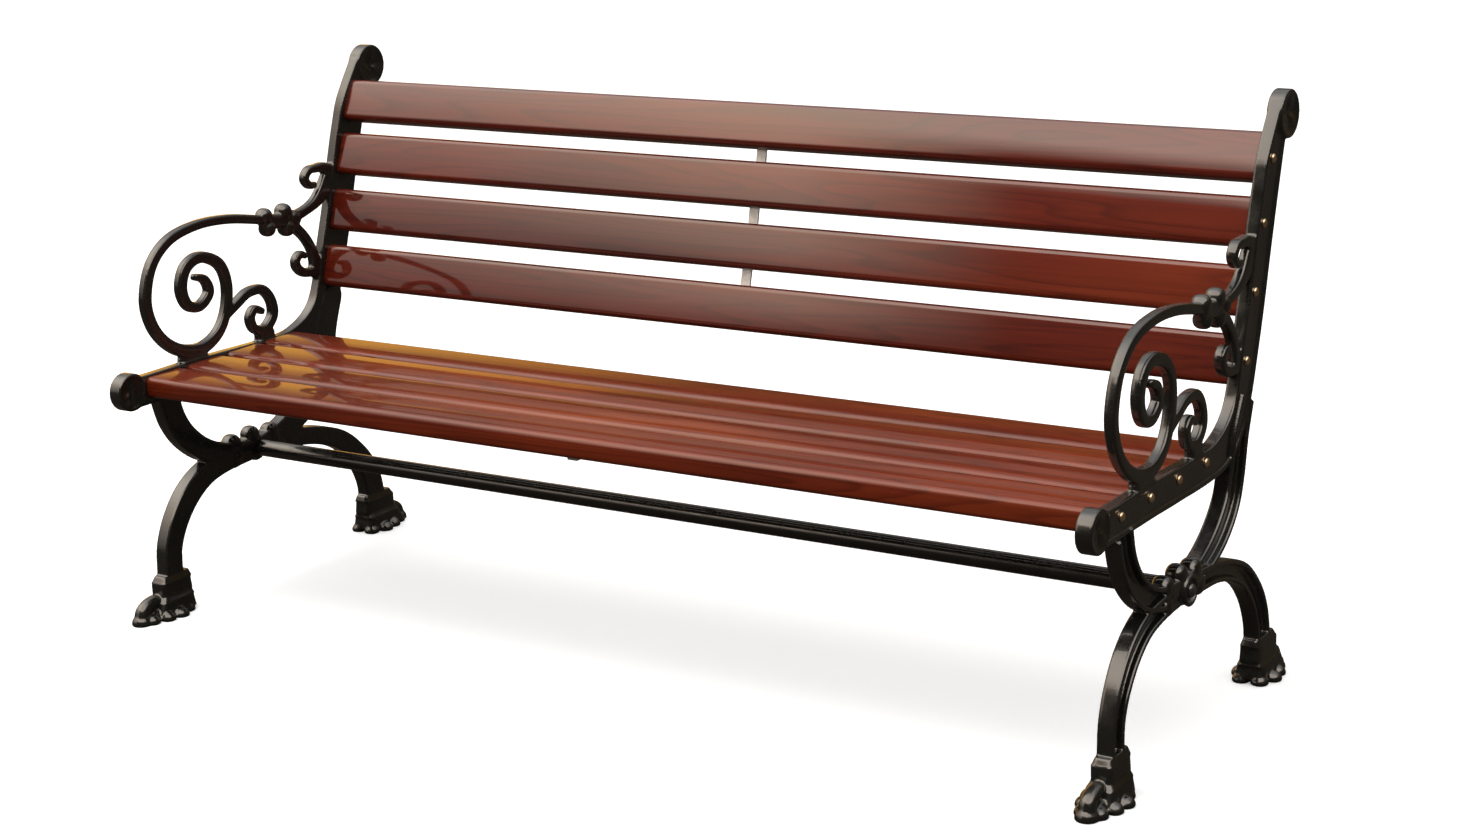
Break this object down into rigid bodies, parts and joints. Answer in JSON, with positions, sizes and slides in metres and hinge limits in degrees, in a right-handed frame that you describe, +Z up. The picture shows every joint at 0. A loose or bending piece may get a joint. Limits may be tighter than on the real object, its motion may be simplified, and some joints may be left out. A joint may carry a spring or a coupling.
{
  "type": "garden bench",
  "caption": "Two-seat park bench with scrolled cast end frames, varnished wooden seat and back slats and a stretcher tube.",
  "frame": {"origin": "on the ground, midway between the end frames and midway between the front toes and the back discs", "axes": "+Z up, -Y the way the sitter faces, +X along the bench to the right seen from the front"},
  "size_m": [1.5488, 0.62, 0.7599],
  "materials": {
    "cast_frame": "smooth gloss black paint over a sand casting",
    "seat_wood": "glossy varnish over red-brown stained pine",
    "back_wood": "glossy varnish over red-brown stained pine",
    "tube_paint": "gloss black paint",
    "black_bolt": "gloss black paint",
    "bright_steel": "bright zinc-plated steel",
    "brass": "smooth, slightly dulled"
  },
  "bodies": {
    "root": {"left_end_frame": "cast_frame", "right_end_frame": "cast_frame", "seat_slat_1": "seat_wood", "seat_slat_2": "seat_wood", "seat_slat_3": "seat_wood", "seat_slat_4": "seat_wood", "back_slat_1": "back_wood", "back_slat_2": "back_wood", "back_slat_3": "back_wood", "back_slat_4": "back_wood", "stretcher_tube": "tube_paint", "stretcher_end_plugs": "bright_steel", "left_stretcher_bolt": "black_bolt", "right_stretcher_bolt": "black_bolt", "back_strap": "bright_steel", "seat_strap": "bright_steel", "back_strap_screws": "bright_steel", "seat_strap_screws": "bright_steel", "left_seat_bolts": "brass", "right_seat_bolts": "brass", "left_back_bolts": "brass", "right_back_bolts": "brass", "left_seat_inserts": "brass", "right_seat_inserts": "brass", "left_back_inserts": "brass", "right_back_inserts": "brass"}
  },
  "joints": []
}
